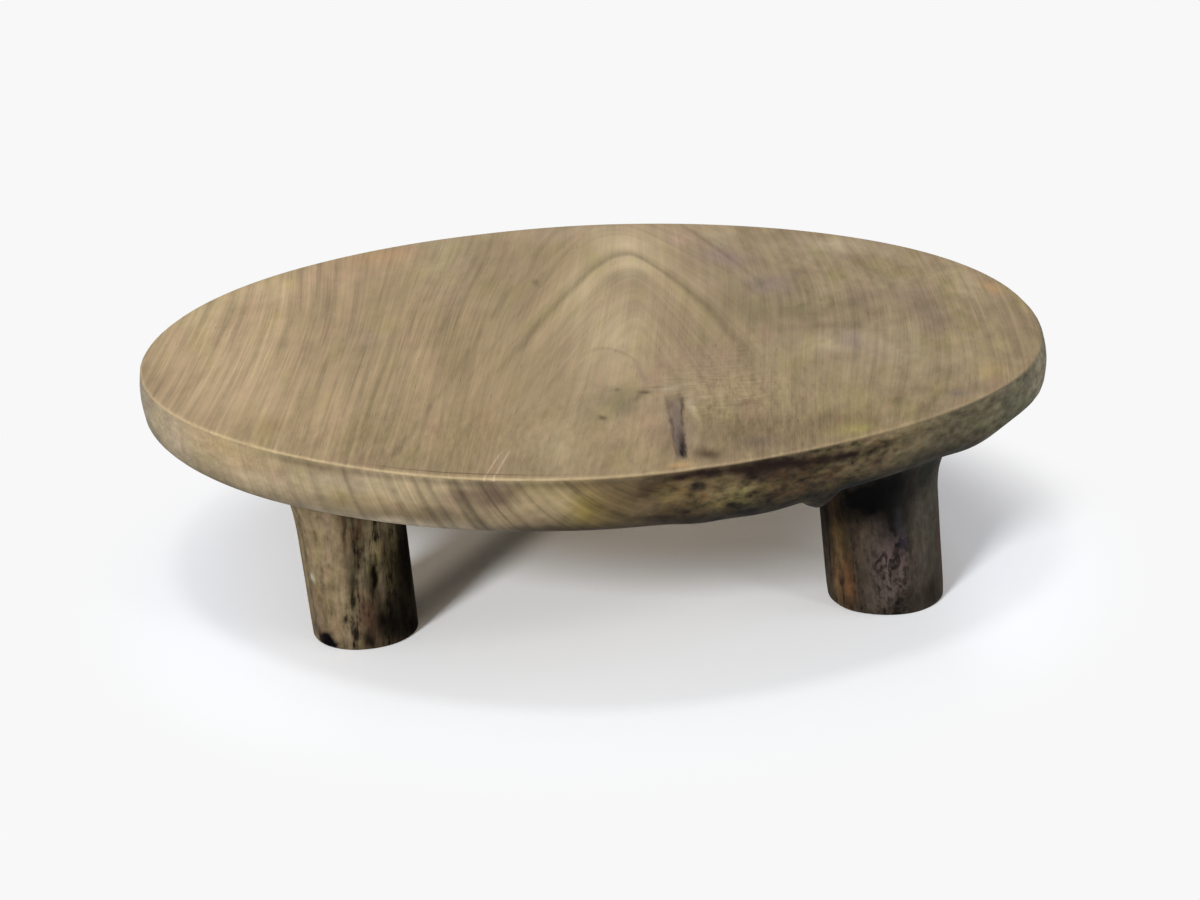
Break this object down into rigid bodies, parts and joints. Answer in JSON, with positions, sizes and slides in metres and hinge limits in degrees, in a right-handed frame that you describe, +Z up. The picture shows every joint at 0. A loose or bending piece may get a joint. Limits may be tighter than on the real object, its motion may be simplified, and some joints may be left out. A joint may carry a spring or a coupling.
{
  "type": "low table",
  "caption": "Low round wooden table (bajot): a thick hand-cut round top on short stubby turned legs, each joined by a blind round tenon; used as a low table or stand.",
  "frame": {"origin": "on the floor under the middle of the round top", "axes": "+Z up. -Y towards the front, the side that the picture shows, so +X is to its right. The grain of the top runs along Y, and the legs stand on the diagonals."},
  "size_m": [0.405, 0.3996, 0.0935],
  "materials": {
    "top_wood": "weathered olive tan teak, bare and matt, open grain",
    "leg_wood": "darker brown streaked teak, bare and matt"
  },
  "bodies": {
    "root": {"top_slab": "top_wood", "leg_front_left": "leg_wood", "leg_front_right": "leg_wood", "leg_back_right": "leg_wood", "leg_back_left": "leg_wood"}
  },
  "joints": []
}
